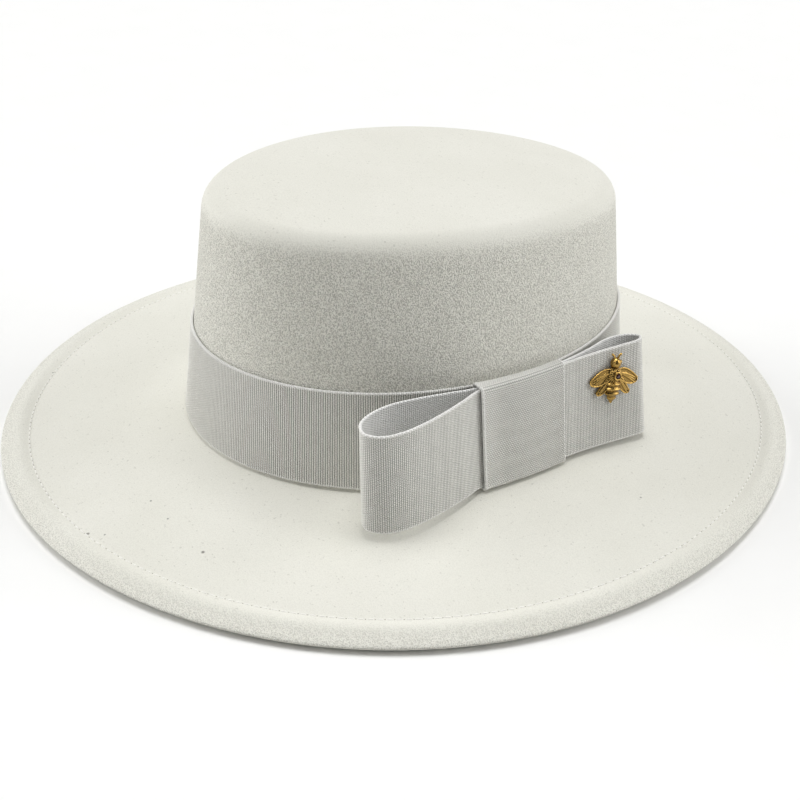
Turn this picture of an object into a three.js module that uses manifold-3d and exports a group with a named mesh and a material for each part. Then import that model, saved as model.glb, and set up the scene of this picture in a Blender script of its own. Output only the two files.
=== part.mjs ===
// A flat-topped, wide-brimmed felt hat with a ribbon band, a side bow and a small bee pin.
// Millimetres, +Z up, the front of the hat towards -Y, the bow on +X, the rim's underside at z = 0.

import * as THREE from 'three';
import { mergeVertices } from 'three/addons/utils/BufferGeometryUtils.js';
import Module from 'manifold-3d';

const wasm = await Module();
wasm.setup();

// Driving dimensions

const GAP = 0.3; // clearance between pieces that lie against each other
const ROUND = 72; // facets round the oval

const FELT = 2; // thickness of the felt
const FOOT_HEIGHT = 16.3; // where the outside of the crown would meet the top of the brim

const CROWN = {
  halfLength: 102, // outside, at the foot
  halfWidth: 84.9,
  tipHeight: 118.2, // middle of the tip above the floor
  taperLength: 0.068, // how far the wall leans in for each millimetre of height
  taperWidth: 0.165,
  tipFall: 0.022, // slope of the gently domed tip at its edge
  shoulder: 8.8, // radius of the tip's edge, outside
  rake: 0.059, // rise of the tip towards the front
  drawnIn: 3.2, // how far the wall's upper part is drawn in at each side, at the tip
  crest: 1.8, // how far the tip's middle rises, in an arch from front to back
  archLength: 85, // half the length of that arch
};

const BRIM = {
  halfLength: 182.9,
  halfWidth: 171.2,
  break: 1.5, // radius where the brim leaves the crown, outside
  arch: 1.2, // how far the middle of the brim stands above a straight slope
  archRadius: 260,
  fold: 1.8, // radius of the turned rim, at the middle of the felt
  hem: 13, // width of the turned-under hem
  flattened: 0.5, // how far the rim is pressed flat where it rests
  restWidth: 2.4, // how far in from the fold it is pressed
};

// The brim was cut a little shorter behind the bow: how far in, where and over how wide an angle.
const CUT_IN = { depth: 6.2, angle: 0.5, spread: 0.72 };

const RIBBON = 1; // thickness of the ribbon

const BAND = { bottom: 1.2, width: 42 }; // above the foot of the crown

const BOW = {
  bottom: 1.6,
  width: 42,
  middle: 22, // height above the foot at which the bow's plan is drawn
  droop: 0.025, // how far the loops sag for each millimetre beyond the knot
  twist: 0.0012, // how much more the rear loop leans in, and the front one less, for each of these
  stations: 84, // facets round the whole loop
};

// The bow seen from above: along is towards the back, out is from the band's face at the knot.
const BOW_PLAN = [
  { place: 'front ply in the knot', along: 0, out: 3.6 },
  { place: 'front ply at the knot', along: -21, out: 3.2 },
  { place: 'front loop, outer ply', along: -32, out: 6.7 },
  { place: 'front loop, outer ply', along: -44, out: 10.1 },
  { place: 'front loop, outer ply', along: -55, out: 12.4 },
  { place: 'front loop, outer ply', along: -65, out: 13.2 },
  { place: 'front loop, turn', along: -73.5, out: 11.3 },
  { place: 'front loop, turn', along: -77.6, out: 6.0 },
  { place: 'front loop, turn', along: -75.4, out: -0.6 },
  { place: 'front loop, inner ply', along: -68.5, out: -4.8 },
  { place: 'front loop, inner ply', along: -58, out: -6.5 },
  { place: 'front loop, inner ply', along: -46, out: -4.8 },
  { place: 'front loop, inner ply', along: -34, out: -1.9 },
  { place: 'back ply at the knot', along: -21, out: 1.4 },
  { place: 'back ply in the knot', along: 0, out: 2.1 },
  { place: 'back ply at the knot', along: 21, out: 0.3 },
  { place: 'rear loop, inner ply', along: 31, out: -1.5 },
  { place: 'rear loop, inner ply', along: 41, out: -3.9 },
  { place: 'rear loop, inner ply', along: 51, out: -7.0 },
  { place: 'rear loop, inner ply', along: 58, out: -7.8 },
  { place: 'rear loop, turn', along: 64.5, out: -6.6 },
  { place: 'rear loop, turn', along: 68.6, out: -3.2 },
  { place: 'rear loop, turn', along: 66, out: -0.8 },
  { place: 'rear loop, outer ply', along: 57, out: -0.1 },
  { place: 'rear loop, outer ply', along: 45, out: 0.1 },
  { place: 'rear loop, outer ply', along: 33, out: 0.6 },
  { place: 'front ply at the knot', along: 21, out: 1.8 },
];

const KNOT = {
  half: 21.5, // half its width along the band
  corner: 1.1, // radius of its folds, at the middle of the ribbon
  across: 8, // facets across its width
  cornerSteps: 3,
};

// The face of the knot seen from above, at its two edges and its middle.
const KNOT_FACE = [
  { along: -KNOT.half, out: 4.6 },
  { along: 0, out: 4.95 },
  { along: KNOT.half, out: 3.1 },
];

const PIN = {
  along: 49.6, // where the middle of the bee sits on the rear loop
  height: 31.2, // above the foot of the crown
  out: 0, // the ply's place in the bow's plan there
  seat: 0.7, // clearance behind the bee
  lean: 0.16, // radians that the head leans towards the back
  postRadius: 0.6,
  postLength: 4.4,
};

const CLUTCH = { radius: 3, thickness: 1.8, sides: 16 };

const BEE = {
  thorax: { radius: 3.6, flat: 0.75 },
  head: { radius: 2.5, up: 5.2, out: 0.5, eye: 0.95 },
  abdomen: { radius: 3.9, length: 11, start: 1.6, rings: 5, ridge: 0.1, flat: 0.7 },
  antenna: { radius: 0.5, reach: 2.6, top: 9.2 },
  cup: { radius: 1.9, bore: 1.3, floor: 2.1, rim: 3.3 },
  wingThickness: 0.9,
  wingBevel: 0.25,
  vein: 0.32,
};

// A wing from its root: reach and drop of its tip, its depth, and how many veins stand on it.
const WINGS = [
  { name: 'fore', reach: 11.8, drop: 3.8, depth: 6.8, root: 1.8, veins: 3 },
  { name: 'hind', reach: 7.8, drop: 6.4, depth: 4.4, root: -0.8, veins: 2 },
];

const STONE = { radius: 1.0, table: 0.58, crown: 0.45, girdle: 0.15, pavilion: 0.75, facets: 8 };

const FINISH = {
  felt: { color: '#e9e7de', roughness: 0.95, metalness: 0 },
  ribbon: { color: '#c9cac6', roughness: 0.8, metalness: 0 },
  gold: { color: '#b78a35', roughness: 0.35, metalness: 1 },
  stone: { color: '#2b0c0d', roughness: 0.1, metalness: 0 },
  steel: { color: '#a9a79f', roughness: 0.4, metalness: 1 },
};

// Geometry helpers

const flat = (x, y) => new THREE.Vector2(x, y);
const space = (x, y, z) => new THREE.Vector3(x, y, z);

// Merges shared vertices, drops collapsed triangles and turns the faces outwards.
function weld(geometry) {
  const bare = new THREE.BufferGeometry();
  bare.setAttribute('position', geometry.getAttribute('position').clone());
  if (geometry.index) bare.setIndex(geometry.index.clone());
  const merged = mergeVertices(bare, 1e-4);
  const corners = merged.index.array;
  const at = merged.getAttribute('position');
  const kept = [];
  let volume = 0;
  for (let i = 0; i < corners.length; i += 3) {
    const [a, b, c] = corners.slice(i, i + 3);
    if (a === b || b === c || c === a) continue;
    const [p, q, r] = [a, b, c].map((n) => new THREE.Vector3().fromBufferAttribute(at, n));
    volume += p.dot(q.cross(r));
    kept.push([a, b, c]);
  }
  const order = volume < 0 ? kept.map(([a, b, c]) => [a, c, b]) : kept;
  merged.setIndex(order.flat());
  return merged;
}

function toSolid(geometry) {
  const welded = weld(geometry);
  return new wasm.Manifold(new wasm.Mesh({
    numProp: 3,
    vertProperties: new Float32Array(welded.getAttribute('position').array),
    triVerts: new Uint32Array(welded.index.array),
  }));
}

function fromSolid(solid) {
  const mesh = solid.getMesh();
  const geometry = new THREE.BufferGeometry();
  geometry.setAttribute('position', new THREE.BufferAttribute(mesh.vertProperties, 3));
  geometry.setIndex(new THREE.BufferAttribute(mesh.triVerts, 1));
  return geometry;
}

const joined = (geometries) => geometries.map(toSolid).reduce((all, next) => all.add(next));

function piece(name, geometry, finish) {
  const shaded = weld(geometry);
  shaded.computeVertexNormals();
  const mesh = new THREE.Mesh(shaded, new THREE.MeshStandardMaterial(finish));
  mesh.name = name;
  return mesh;
}

// A line through corner points, each rounded by its radius, as points with their left-hand normals.
function roundedLine(corners) {
  const line = [];
  const add = (point, heading) => {
    const last = line.at(-1);
    if (last && last.point.distanceTo(point) < 1e-6) return;
    line.push({ point, normal: flat(-heading.y, heading.x) });
  };
  corners.forEach((corner, i) => {
    const before = corners[i - 1];
    const after = corners[i + 1];
    const arriving = before && corner.at.clone().sub(before.at).normalize();
    const leaving = after && after.at.clone().sub(corner.at).normalize();
    if (!before || !after) {
      add(corner.at, corner.heading ?? arriving ?? leaving);
      return;
    }
    const turn = Math.atan2(arriving.cross(leaving), arriving.dot(leaving));
    const reach = corner.radius * Math.tan(Math.abs(turn) / 2);
    const start = corner.at.clone().addScaledVector(arriving, -reach);
    const side = flat(-arriving.y, arriving.x).multiplyScalar(Math.sign(turn));
    const centre = start.clone().addScaledVector(side, corner.radius);
    for (let k = 0; k <= corner.steps; k += 1) {
      const angle = (turn * k) / corner.steps;
      const heading = arriving.clone().rotateAround(flat(0, 0), angle);
      add(start.clone().rotateAround(centre, angle), heading);
    }
  });
  return line;
}

// A strip of ribbon that closes on itself: place gives a point round it, across it and on either face.
function closedRibbon(around, across, place) {
  const positions = [];
  const index = [];
  const row = 2 * (across + 1);
  const at = (i, j, side) => (i % around) * row + 2 * j + side;
  const quad = (a, b, c, d) => index.push(a, b, c, a, c, d);
  for (let i = 0; i < around; i += 1) {
    for (let j = 0; j <= across; j += 1) {
      for (const side of [-1, 1]) {
        positions.push(...place(i / around, j / across, side).toArray());
      }
    }
    for (let j = 0; j < across; j += 1) {
      quad(at(i, j, 1), at(i + 1, j, 1), at(i + 1, j + 1, 1), at(i, j + 1, 1));
      quad(at(i, j, 0), at(i, j + 1, 0), at(i + 1, j + 1, 0), at(i + 1, j, 0));
    }
    quad(at(i, 0, 0), at(i + 1, 0, 0), at(i + 1, 0, 1), at(i, 0, 1));
    quad(at(i, across, 1), at(i + 1, across, 1), at(i + 1, across, 0), at(i, across, 0));
  }
  const geometry = new THREE.BufferGeometry();
  geometry.setAttribute('position', new THREE.Float32BufferAttribute(positions, 3));
  geometry.setIndex(index);
  return geometry;
}

// A round bar along a curve.
function bar(curve, radius, steps, sides = 6) {
  const section = new THREE.Shape();
  section.absarc(0, 0, radius, 0, 2 * Math.PI);
  return new THREE.ExtrudeGeometry(section, { extrudePath: curve, steps, curveSegments: sides });
}

// Felt body

// How far a point of the crown is lifted by the rake of the tip.
function rakeLift(y, height) {
  return (-y * CROWN.rake * Math.max(height, 0)) / (CROWN.tipHeight - FOOT_HEIGHT);
}

// The middle of the felt from the tip's centre to the raw edge of the hem, in one upright plane.
function feltLine(halfFoot, taper, halfBrim) {
  const half = FELT / 2;
  const lean = Math.atan(taper);
  const wallFoot = halfFoot - half / Math.cos(lean);
  const tip = CROWN.tipHeight - half;
  const wallAt = (z) => wallFoot - taper * (z - FOOT_HEIGHT);
  const shoulderOut = wallAt(tip) / (1 - taper * CROWN.tipFall);
  const shoulder = flat(shoulderOut, tip - CROWN.tipFall * shoulderOut);
  const foot = flat(wallAt(FOOT_HEIGHT - half), FOOT_HEIGHT - half);
  const rimRadius = BRIM.fold + half;
  const rim = flat(halfBrim - rimRadius, rimRadius - BRIM.flattened);
  const rimTop = rim.clone().add(flat(0, BRIM.fold));
  const arch = foot.clone().lerp(rimTop, 0.5).add(flat(0, BRIM.arch));
  const outwards = rimTop.clone().sub(arch).normalize();
  const under = flat(outwards.y, -outwards.x);
  const foldOut = rim.clone().addScaledVector(outwards, BRIM.fold);
  const foldTop = foldOut.clone().addScaledVector(under, -BRIM.fold);
  const foldUnder = foldOut.clone().addScaledVector(under, BRIM.fold);
  const rest = foldUnder.clone().addScaledVector(outwards, -BRIM.fold - BRIM.restWidth);
  const rawEdge = foldUnder.clone().addScaledVector(outwards, -BRIM.hem);
  return roundedLine([
    { at: flat(0, tip), heading: flat(1, 0) },
    { at: shoulder, radius: CROWN.shoulder - half, steps: 4 },
    { at: shoulder.clone().lerp(foot, 0.35), radius: 0, steps: 1 },
    { at: shoulder.clone().lerp(foot, 0.57), radius: 0, steps: 1 },
    { at: foot, radius: BRIM.break + half, steps: 3 },
    { at: arch, radius: BRIM.archRadius, steps: 3 },
    { at: foldTop, radius: BRIM.fold, steps: 3 },
    { at: foldUnder, radius: BRIM.fold, steps: 3 },
    { at: rest, radius: 0, steps: 1 },
    { at: rawEdge },
  ]);
}

// Both skins of the felt, out over the crown and brim and back along the inside.
function feltSkins(line) {
  const skin = (offset) => line.map(({ point, normal }) => point.clone().addScaledVector(normal, offset));
  return [...skin(FELT / 2), ...skin(-FELT / 2).reverse()];
}

// How far the brim is cut in at an angle round the hat, for a point this far out from the axis.
function cutIn(angle, reach, foot, edge) {
  const turned = angle - CUT_IN.angle;
  const away = Math.atan2(Math.sin(turned), Math.cos(turned)) / CUT_IN.spread;
  const share = THREE.MathUtils.clamp((reach - foot) / (edge - foot), 0, 1);
  return 1 - (CUT_IN.depth * share * Math.exp(-away * away)) / edge;
}

// How far a height lies up the part of the wall that stands above the band, softly from nothing to one.
function aboveBand(height) {
  const bandTop = BAND.bottom + BAND.width;
  const wall = CROWN.tipHeight - FOOT_HEIGHT - bandTop;
  return THREE.MathUtils.clamp((height - bandTop) / wall, 0, 1) ** 2;
}

// The crown above its band: drawn in at the sides, and its tip arched from front to back.
function shapeCrown(x, y, z) {
  const height = z - FOOT_HEIGHT;
  const share = aboveBand(height);
  const arch = CROWN.crest * share * (1 - (y / CROWN.archLength) ** 2);
  const narrower = 1 - (CROWN.drawnIn * share) / CROWN.halfWidth;
  return space(x * narrower, y, z + rakeLift(y, height) + arch);
}

function feltBody() {
  const side = feltSkins(feltLine(CROWN.halfWidth, CROWN.taperWidth, BRIM.halfWidth));
  const front = feltSkins(feltLine(CROWN.halfLength, CROWN.taperLength, BRIM.halfLength));
  const geometry = new THREE.LatheGeometry(side, ROUND);
  const position = geometry.getAttribute('position');
  for (let i = 0; i <= ROUND; i += 1) {
    const angle = (2 * Math.PI * (i % ROUND)) / ROUND;
    const cos = Math.cos(angle);
    const sin = Math.sin(angle);
    side.forEach((across, j) => {
      const along = front[j];
      const shorter = cutIn(angle, across.x, CROWN.halfWidth, BRIM.halfWidth);
      const z = across.y * cos * cos + along.y * sin * sin;
      const place = shapeCrown(across.x * cos * shorter, along.x * sin * shorter, z);
      position.setXYZ(i * side.length + j, place.x, place.y, Math.max(place.z, 0));
    });
  }
  return geometry;
}

// Ribbon band

// The half length and half width of the crown's outside at a height above its foot.
function crownOval(height) {
  return {
    width: CROWN.halfWidth - CROWN.taperWidth * height,
    length: CROWN.halfLength - CROWN.taperLength * height,
  };
}

const BAND_FACE = GAP + RIBBON; // the band's outer face, from the felt

function hatBand() {
  return closedRibbon(ROUND, 1, (u, v, side) => {
    const angle = 2 * Math.PI * u;
    const height = BAND.bottom + v * BAND.width;
    const lift = rakeLift(CROWN.halfLength * Math.sin(angle), height);
    const oval = crownOval(height - lift);
    const out = side > 0 ? BAND_FACE : GAP;
    const x = (oval.width + out) * Math.cos(angle);
    return space(x, (oval.length + out) * Math.sin(angle), FOOT_HEIGHT + height);
  });
}

// Bow

// Where the band's outer face lies at the middle height of the bow.
function bandFace(along) {
  const oval = crownOval(BOW.middle);
  const length = oval.length + BAND_FACE;
  return (oval.width + BAND_FACE) * Math.sqrt(1 - (along / length) ** 2);
}

const KNOT_FRONT = bandFace(0);

// How far along the band a place lies beyond the edge of the knot, less than nothing to the front.
function beyondKnot(along) {
  return Math.sign(along) * Math.max(Math.abs(along) - KNOT.half, 0);
}

// The bow leans in with the crown's wall, and its loops twist a little beyond the knot.
function bowLean(along) {
  return CROWN.taperWidth + BOW.twist * beyondKnot(along);
}

function onBow(out, along, height) {
  const x = KNOT_FRONT + out - bowLean(along) * (height - BOW.middle);
  return space(x, along, FOOT_HEIGHT + height);
}

function bowRibbon() {
  const plan = BOW_PLAN.map(({ along, out }) => space(out, along, 0));
  const loop = new THREE.CatmullRomCurve3(plan, true, 'centripetal');
  return closedRibbon(BOW.stations, 1, (u, v, side) => {
    const middle = loop.getPoint(u);
    const heading = loop.getTangent(u);
    const along = middle.y - (side * heading.x * RIBBON) / 2;
    const out = middle.x + (side * heading.y * RIBBON) / 2;
    const sag = BOW.droop * Math.abs(beyondKnot(along));
    return onBow(out, along, BOW.bottom + v * BOW.width - sag);
  });
}

// The knot's face through its three plan points.
function knotFace(along) {
  const [left, centre, right] = KNOT_FACE;
  const t = along / KNOT.half;
  const tilt = (right.out - left.out) / 2;
  const bend = (right.out + left.out) / 2 - centre.out;
  return centre.out + tilt * t + bend * t * t;
}

function bowKnot() {
  const clear = GAP + RIBBON / 2;
  const top = BOW.bottom + BOW.width + clear;
  const bottom = BOW.bottom - clear;
  const steps = KNOT.cornerSteps;
  const around = 4 * (steps + 1);
  return closedRibbon(around, KNOT.across, (u, v, side) => {
    const along = KNOT.half * (2 * v - 1);
    const face = knotFace(along);
    const back = bandFace(along) - KNOT_FRONT + clear;
    const station = Math.round(u * around);
    const quarter = Math.floor(station / (steps + 1));
    const angle = (Math.PI / 2) * (quarter + (station % (steps + 1)) / steps);
    const radius = KNOT.corner + (side * RIBBON) / 2;
    const turnsOut = quarter === 0 || quarter === 3;
    const turnsUp = quarter < 2;
    const centreOut = turnsOut ? face - KNOT.corner : back + KNOT.corner;
    const centreUp = turnsUp ? top - KNOT.corner : bottom + KNOT.corner;
    return onBow(centreOut + radius * Math.cos(angle), along, centreUp + radius * Math.sin(angle));
  });
}

// Bee pin, drawn facing +X with its head up and its back in the plane x = 0

function wingShape({ reach, drop, depth }) {
  const shape = new THREE.Shape();
  shape.moveTo(0, 0);
  shape.bezierCurveTo(reach * 0.3, depth * 0.45, reach * 0.8, depth * 0.35 - drop, reach, -drop);
  const heel = -depth * 0.35;
  shape.bezierCurveTo(reach * 1.02, -drop - depth * 0.45, reach * 0.5, -drop - depth * 0.55, 0, heel);
  return shape;
}

// One wing on the +Y side, with veins that fan out from its root.
function wing(spec) {
  const plate = new THREE.ExtrudeGeometry(wingShape(spec), {
    depth: BEE.wingThickness - BEE.wingBevel,
    bevelThickness: BEE.wingBevel,
    bevelSize: BEE.wingBevel,
    bevelOffset: -BEE.wingBevel,
    bevelSegments: 1,
    curveSegments: 6,
  });
  const veins = [];
  for (let i = 0; i < spec.veins; i += 1) {
    const share = (i + 0.5) / spec.veins - 0.5;
    const tip = space(spec.reach * 0.86, -spec.drop - spec.depth * (0.12 + share * 0.5), BEE.wingThickness);
    const root = space(spec.reach * 0.1, -spec.depth * 0.12, BEE.wingThickness);
    const bow = root.clone().lerp(tip, 0.5).add(space(0, spec.depth * 0.1, 0));
    veins.push(bar(new THREE.QuadraticBezierCurve3(root, bow, tip), BEE.vein, 4, 5));
  }
  const upright = new THREE.Matrix4().makeBasis(space(0, 1, 0), space(0, 0, 1), space(1, 0, 0));
  const placed = upright.setPosition(BEE.wingBevel, 1.2, spec.root);
  return [plate, ...veins].map((geometry) => geometry.applyMatrix4(placed));
}

const mirrored = (geometry) => geometry.clone().applyMatrix4(new THREE.Matrix4().makeScale(1, -1, 1));

// The ringed abdomen, tapering downwards.
function abdomen() {
  const { radius, length, start, rings, ridge, flat: squash } = BEE.abdomen;
  const profile = [flat(0, -start)];
  const steps = 4 * rings;
  for (let i = 0; i < steps; i += 1) {
    const t = (i + 0.5) / steps;
    const swell = Math.sin(Math.PI * (0.22 + 0.76 * t));
    const ring = 1 + ridge * Math.cos(2 * Math.PI * rings * t);
    profile.push(flat(radius * swell * ring, -start - length * t));
  }
  profile.push(flat(0, -start - length));
  const upright = new THREE.LatheGeometry(profile.reverse(), 14).rotateX(Math.PI / 2);
  return upright.scale(squash, 1, 1);
}

function ball(radius, x, y, z, squash = 1) {
  return new THREE.SphereGeometry(radius, 12, 9).scale(squash, 1, 1).translate(x, y, z);
}

// A cylinder along X between two places.
function rod(radius, from, to, sides) {
  const length = to - from;
  const upright = new THREE.CylinderGeometry(radius, radius, length, sides);
  return upright.rotateZ(Math.PI / 2).translate(from + length / 2, 0, 0);
}

function antenna() {
  const { radius, reach, top } = BEE.antenna;
  const start = space(0.9, 0.7, BEE.head.up + 0.9);
  const end = space(0.9, reach, top);
  const bend = space(0.9, 0.8, top - 0.6);
  return bar(new THREE.QuadraticBezierCurve3(start, bend, end), radius, 4);
}

function beePin() {
  const { thorax, head, cup } = BEE;
  const right = [...WINGS.flatMap(wing), antenna(), ball(head.eye, 1.3, 1.35, head.up + 0.7)];
  const body = [
    ball(thorax.radius, 0, 0, 0, thorax.flat),
    ball(head.radius, head.out, 0, head.up),
    abdomen(),
    rod(cup.radius, 0.5, cup.rim, 14),
  ];
  const behind = new THREE.BoxGeometry(20, 60, 60).translate(-10, 0, 0);
  const relief = joined([...body, ...right, ...right.map(mirrored)]);
  const hollow = toSolid(rod(cup.bore, cup.floor, cup.rim + 1, 14));
  const post = toSolid(rod(PIN.postRadius, -PIN.postLength, 1, 10));
  return fromSolid(relief.subtract(toSolid(behind)).subtract(hollow).add(post));
}

function beeStone() {
  const { radius, table, crown, girdle, pavilion, facets } = STONE;
  const profile = [
    flat(0, 0),
    flat(radius, pavilion),
    flat(radius, pavilion + girdle),
    flat(table, pavilion + girdle + crown),
    flat(0, pavilion + girdle + crown),
  ];
  const upright = new THREE.LatheGeometry(profile, facets);
  return upright.rotateZ(-Math.PI / 2).translate(BEE.cup.floor + GAP, 0, 0);
}

function pinClutch() {
  const near = -PIN.seat - RIBBON - GAP;
  const far = near - CLUTCH.thickness;
  const bore = PIN.postRadius + GAP;
  const profile = [
    flat(bore, far),
    flat(CLUTCH.radius, far),
    flat(CLUTCH.radius, near),
    flat(bore, near),
    flat(bore, far),
  ];
  return new THREE.LatheGeometry(profile, CLUTCH.sides).rotateZ(-Math.PI / 2);
}

// Assembly

// The pin's own frame: on the rear loop's outer ply, leaning with the ribbon.
const pinFrame = new THREE.Group();
const plyFace = onBow(PIN.out, PIN.along, PIN.height);
const ribbonLean = Math.atan(bowLean(PIN.along));
const outwards = space(Math.cos(ribbonLean), 0, Math.sin(ribbonLean));
pinFrame.position.copy(plyFace).addScaledVector(outwards, RIBBON / 2 + PIN.seat);
pinFrame.rotation.y = -ribbonLean;
pinFrame.updateMatrixWorld();

// The bow's ribbon, pierced where the post goes through the rear loop's outer ply.
function piercedBow() {
  const reach = PIN.seat + RIBBON + GAP;
  const hole = rod(PIN.postRadius + GAP, -reach, 0, 12).applyMatrix4(pinFrame.matrixWorld);
  return fromSolid(toSolid(bowRibbon()).subtract(toSolid(hole)));
}

const bee = new THREE.Group();
bee.rotation.x = -PIN.lean;
bee.add(piece('bee_pin', beePin(), FINISH.gold));
bee.add(piece('bee_stone', beeStone(), FINISH.stone));
pinFrame.add(bee);
pinFrame.add(piece('pin_clutch', pinClutch(), FINISH.steel));

const hat = new THREE.Group();
hat.add(piece('felt_body', feltBody(), FINISH.felt));
hat.add(piece('hat_band', hatBand(), FINISH.ribbon));
hat.add(piece('bow_ribbon', piercedBow(), FINISH.ribbon));
hat.add(piece('bow_knot', bowKnot(), FINISH.ribbon));
hat.add(pinFrame);

export default hat;
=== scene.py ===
"""A flat-topped, wide-brimmed felt hat with a ribbon band, a side bow and a small bee pin.

The pieces are drawn in millimetres, in the hat's own frame: the front towards -Y, the bow on +X,
the rim's underside at z = 0. They become metres when their meshes are made.
"""

import math

import bmesh
import bpy
import numpy as np
from mathutils import Matrix, Vector


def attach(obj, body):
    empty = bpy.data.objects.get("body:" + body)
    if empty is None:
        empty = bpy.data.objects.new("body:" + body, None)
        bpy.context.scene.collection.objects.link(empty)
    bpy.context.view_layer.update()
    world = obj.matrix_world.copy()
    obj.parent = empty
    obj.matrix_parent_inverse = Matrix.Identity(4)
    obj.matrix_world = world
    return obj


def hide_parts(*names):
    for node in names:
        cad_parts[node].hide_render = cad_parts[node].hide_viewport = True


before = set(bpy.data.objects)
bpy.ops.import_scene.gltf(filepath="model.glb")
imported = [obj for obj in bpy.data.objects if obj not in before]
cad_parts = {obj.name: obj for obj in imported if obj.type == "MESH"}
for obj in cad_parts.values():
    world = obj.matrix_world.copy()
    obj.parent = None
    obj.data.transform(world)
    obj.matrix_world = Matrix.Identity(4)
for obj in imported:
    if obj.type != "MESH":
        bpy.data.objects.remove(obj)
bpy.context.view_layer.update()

MM = 0.001
TURN = 2 * math.pi

# Sizes of the felt, in millimetres

GAP = 0.3
FELT = 2.0
FOOT = 16.3
CROWN = dict(half_length=102.0, half_width=84.9, tip=118.2, taper_length=0.068, taper_width=0.165,
             tip_fall=0.022, shoulder=8.8, rake=0.059, drawn_in=3.2, crest=1.8, arch_length=85.0)
BRIM = dict(half_length=182.9, half_width=171.2, breaking=1.5, arch=1.2, arch_radius=260.0,
            fold=1.8, hem=13.0, flattened=0.5, rest_width=2.4)
CUT_IN = dict(depth=6.2, angle=0.5, spread=0.72)
FELT_ROUND = 384
# Unevenness of the brim: height of a wave, how many go round, and their phase
FELT_WAVES = [(0.35, 3, 0.6), (0.25, 5, 2.1), (0.15, 9, 0.0)]
# How open the grain stands: pressed flat elsewhere, fully open on the wall, partly at the worn rim. The same
# share lays a paler tone on the crown's wall as painted light.
OPEN_GRAIN_AND_WALL_LIGHT = dict(flat=0.15, wall_fade=6.0, below_tip=4.0, rim_inset=11.0, rim_fade=9.0, rim_share=0.6)

# The sewn hem: insets are measured in from the rim.
HEM = dict(seam_inset=13.0, groove=0.25, groove_width=1.3, puff=1.2, puff_inset=8.0, puff_width=3.6,
           roll=1.1, roll_width=6.5, lift=3.8, lift_width=6.0)
STITCH = dict(spacing=3.6, length=2.7, width=0.75, height=0.6, shift=0.0)
NEEDLE_HOLE = dict(spacing=3.6, length=0.6, width=0.5, height=0.16, shift=1.8)

# Sizes of the ribbon

RIBBON = 1.0
RIB_PITCH = 0.95
STRETCHED_RELIEF = 0.15
SLACK_RELIEF = 0.04
RIB_STEPS = 4
BAND = dict(bottom=1.2, width=42.0)
BOW = dict(bottom=1.6, width=42.0, middle=22.0, droop=0.025, twist=0.0012)
KNOT = dict(half=21.5, corner=1.1, corner_steps=9, curl=0.7, curl_width=3.0)
KNOT_FACE = dict(front=4.6, middle=4.95, rear=3.1)

# The bow seen from above: how far along the band, and how far out from its face at the knot.
BOW_PLAN = [
    ("front ply in the knot", 0, 3.6),
    ("front ply at the knot", -21, 3.2),
    ("front loop, outer ply", -32, 6.7),
    ("front loop, outer ply", -44, 10.1),
    ("front loop, outer ply", -55, 12.4),
    ("front loop, outer ply", -65, 13.2),
    ("front loop, turn", -73.5, 11.3),
    ("front loop, turn", -77.6, 6.0),
    ("front loop, turn", -75.4, -0.6),
    ("front loop, inner ply", -68.5, -4.8),
    ("front loop, inner ply", -58, -6.5),
    ("front loop, inner ply", -46, -4.8),
    ("front loop, inner ply", -34, -1.9),
    ("back ply at the knot", -21, 1.4),
    ("back ply in the knot", 0, 2.1),
    ("back ply at the knot", 21, 0.3),
    ("rear loop, inner ply", 31, -1.5),
    ("rear loop, inner ply", 41, -3.9),
    ("rear loop, inner ply", 51, -7.0),
    ("rear loop, inner ply", 58, -7.8),
    ("rear loop, turn", 64.5, -6.6),
    ("rear loop, turn", 68.6, -3.2),
    ("rear loop, turn", 66, -0.8),
    ("rear loop, outer ply", 57, -0.1),
    ("rear loop, outer ply", 45, 0.1),
    ("rear loop, outer ply", 33, 0.6),
    ("front ply at the knot", 21, 1.8),
]

# Sizes of the bee pin

PIN = dict(along=49.6, height=31.2, out=0.0, seat=0.7, lean=0.16, post=0.6, post_clear=0.3,
           post_length=4.4, cup=1.25, cup_floor=2.1)

# Lint on the brim: place on its upper face, and radius
SPECKS = [
    (-103.4, -129.9, 6.7, 0.5),
    (31.6, -162.2, 7.6, 0.5),
    (26.7, -167.3, 6.9, 0.8),
    (24.3, -138.9, 11.8, 0.5),
    (38.6, -138.2, 11.3, 0.5),
    (63.9, -135.4, 9.9, 0.8),
    (127.8, 107.6, 6.1, 0.5),
    (120.8, 37.1, 12.1, 0.6),
]

# The camera, fitted to the outlines of the hat

CAMERA = dict(turn=56.0, elevation=29.77, roll=2.5, distance=709.0, focal_px=1542.8,
              aim_right=-3.0, aim_up=7.8)
FRAME_PX = 800
SENSOR = 36.0


# Colour and node helpers

def colour(code):
    """An sRGB hex value as linear light."""
    parts = [int(code[i:i + 2], 16) / 255 for i in (1, 3, 5)]
    return [c / 12.92 if c <= 0.04045 else ((c + 0.055) / 1.055) ** 2.4 for c in parts] + [1.0]


def put(tree, kind, inputs=None, **settings):
    """Adds a node with its settings and inputs."""
    node = tree.nodes.new(kind)
    for name, value in settings.items():
        setattr(node, name, value)
    feed(tree, node, inputs or {})
    return node


def feed(tree, node, inputs):
    """Gives a node its inputs: each is a value, or an output to link from."""
    for name, value in inputs.items():
        if isinstance(value, bpy.types.NodeSocket):
            tree.links.new(value, node.inputs[name])
        else:
            node.inputs[name].default_value = value


def places(tree):
    """Places on the piece, in metres."""
    return put(tree, "ShaderNodeTexCoord").outputs["Object"]


def maths(tree, operation, *values):
    """One step of arithmetic."""
    return put(tree, "ShaderNodeMath", dict(enumerate(values)), operation=operation).outputs[0]


def rescale(tree, value, old=(0.0, 1.0), new=(0.0, 1.0)):
    """Carries a value from one range to another, and stops at its ends."""
    return put(tree, "ShaderNodeMapRange", {
        "Value": value, "From Min": old[0], "From Max": old[1], "To Min": new[0], "To Max": new[1],
    }).outputs["Result"]


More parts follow.
